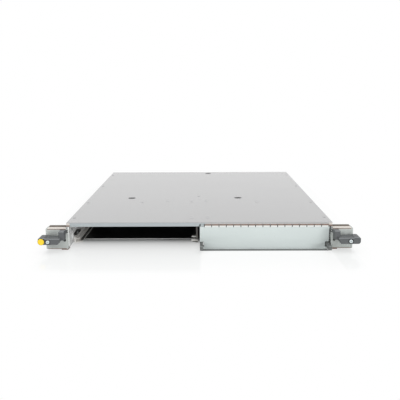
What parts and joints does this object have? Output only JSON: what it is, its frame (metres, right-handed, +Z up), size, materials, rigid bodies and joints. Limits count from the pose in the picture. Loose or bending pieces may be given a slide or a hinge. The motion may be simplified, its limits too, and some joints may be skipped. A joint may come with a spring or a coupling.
{
  "type": "switch line card",
  "caption": "Sheet-metal line card with an open module bay, a blank filler panel and an ejector handle on a bracket at each side.",
  "frame": {"origin": "centre of the whole card on the surface it rests on", "axes": "+X to the right seen from the front, +Y from the front to the backplane side, +Z up"},
  "size_m": [0.3624, 0.382, 0.032],
  "materials": {
    "cover_paint": "satin grey paint on sheet steel",
    "filler_paint": "smooth pale grey-green paint",
    "zinc_sheet": "bright zinc-plated sheet",
    "bracket_zinc": "dull zinc-plated sheet",
    "guide_metal": "satin extruded metal",
    "bulkhead_sheet": "black coated sheet",
    "black_film": "matt black film",
    "stud_metal": "satin plated steel",
    "dark_screw": "black oxide",
    "post_metal": "turned metal",
    "gasket": "soft conductive fabric over foam",
    "finger_metal": "bright spring metal",
    "pin_steel": "ground steel",
    "screw_nickel": "nickel plated",
    "handle_plastic": "dark grey moulded plastic",
    "latch_plastic": "dark grey moulded plastic",
    "cap_yellow": "yellow moulded plastic",
    "lock_steel": "dark coated spring steel",
    "board_green": "solder-resist green board",
    "chip_black": "moulded chip package",
    "sink_aluminium": "clear anodised fins",
    "memory_green": "small upright boards",
    "converter_black": "potted bricks",
    "connector_black": "moulded housing",
    "connector_grey": "moulded housing",
    "socket_metal": "die cast block"
  },
  "bodies": {
    "carrier": {"cover_plate": "cover_paint", "pressed_studs": "stud_metal", "cover_side_rivets": "stud_metal", "cover_screws": "dark_screw", "cover_posts": "post_metal", "bottom_pan": "zinc_sheet", "insulator_films": "black_film", "bay_bulkhead": "bulkhead_sheet", "side_wall_left": "zinc_sheet", "side_wall_right": "zinc_sheet", "divider_guide_left": "guide_metal", "divider_guide_right": "guide_metal", "wall_guide_left": "guide_metal", "wall_guide_right": "guide_metal", "ejector_bracket_left": "bracket_zinc", "ejector_bracket_right": "bracket_zinc", "bracket_rivets_left": "stud_metal", "bracket_rivets_right": "stud_metal", "top_gasket_left": "gasket", "top_gasket_right": "gasket", "foot_gasket_left": "gasket", "foot_gasket_right": "gasket", "edge_finger_strip_left": "finger_metal", "edge_finger_strip_right": "finger_metal", "handle_pin_left": "pin_steel", "handle_pin_right": "pin_steel", "module_lock_plate_left": "lock_steel", "module_lock_plate_right": "lock_steel", "module_lock_pin_left": "pin_steel", "module_lock_pin_right": "pin_steel", "board_standoffs": "post_metal", "main_board": "board_green", "board_screws": "stud_metal", "packet_processors": "chip_black", "heat_sink_left": "sink_aluminium", "heat_sink_right": "sink_aluminium", "memory_cards": "memory_green", "power_converters": "converter_black", "bay_connector_left": "connector_black", "bay_connector_right": "connector_black", "backplane_connectors": "connector_grey", "power_connector": "connector_black", "guide_socket_left": "socket_metal", "guide_socket_right": "socket_metal"},
    "handle_left": {"ejector_handle_left": "handle_plastic", "handle_cap": "cap_yellow"},
    "handle_right": {"ejector_handle_right": "handle_plastic"},
    "screw_left": {"captive_screw_left": "screw_nickel"},
    "screw_right": {"captive_screw_right": "screw_nickel"},
    "filler": {"filler_panel": "filler_paint", "filler_runner_left": "zinc_sheet", "filler_runner_right": "zinc_sheet", "filler_finger_strip": "finger_metal", "filler_latch_pin_left": "pin_steel", "filler_latch_pin_right": "pin_steel"},
    "latch_left": {"filler_latch_left": "latch_plastic"},
    "latch_right": {"filler_latch_right": "latch_plastic"},
    "lock_left": {"module_lock_lever_left": "lock_steel"},
    "lock_right": {"module_lock_lever_right": "lock_steel"}
  },
  "joints": [
    {"name": "handle_left_swing", "type": "hinge", "parent": "carrier", "child": "handle_left", "pos_m": [-0.1549, -0.16955, 0.0217], "axis": [0, 0, 1], "range_deg": [0, 38]},
    {"name": "handle_right_swing", "type": "hinge", "parent": "carrier", "child": "handle_right", "pos_m": [0.1549, -0.16955, 0.0217], "axis": [0, 0, 1], "range_deg": [-38, 0]},
    {"name": "screw_left_spin", "type": "hinge", "parent": "handle_left", "child": "screw_left", "pos_m": [-0.17, -0.18285, 0.0142], "axis": [0, 1, 0], "continuous": true},
    {"name": "screw_right_spin", "type": "hinge", "parent": "handle_right", "child": "screw_right", "pos_m": [0.17, -0.18285, 0.0142], "axis": [0, 1, 0], "continuous": true},
    {"name": "filler_slide", "type": "slide", "parent": "carrier", "child": "filler", "axis": [0, -1, 0], "range_m": [0, 0.06]},
    {"name": "latch_left_press", "type": "hinge", "parent": "filler", "child": "latch_left", "pos_m": [0.0023, -0.16285, 0.006], "axis": [0, 0, 1], "range_deg": [0, 5], "stiffness_Nm_per_rad": 0.05},
    {"name": "latch_right_press", "type": "hinge", "parent": "filler", "child": "latch_right", "pos_m": [0.1476, -0.16285, 0.006], "axis": [0, 0, 1], "range_deg": [-5, 0], "stiffness_Nm_per_rad": 0.05},
    {"name": "lock_left_rock", "type": "hinge", "parent": "carrier", "child": "lock_left", "pos_m": [-0.1483, -0.13635, 0.0118], "axis": [1, 0, 0], "range_deg": [0, 8], "stiffness_Nm_per_rad": 0.02},
    {"name": "lock_right_rock", "type": "hinge", "parent": "carrier", "child": "lock_right", "pos_m": [0.1483, -0.13635, 0.0118], "axis": [1, 0, 0], "range_deg": [0, 8], "stiffness_Nm_per_rad": 0.02}
  ]
}
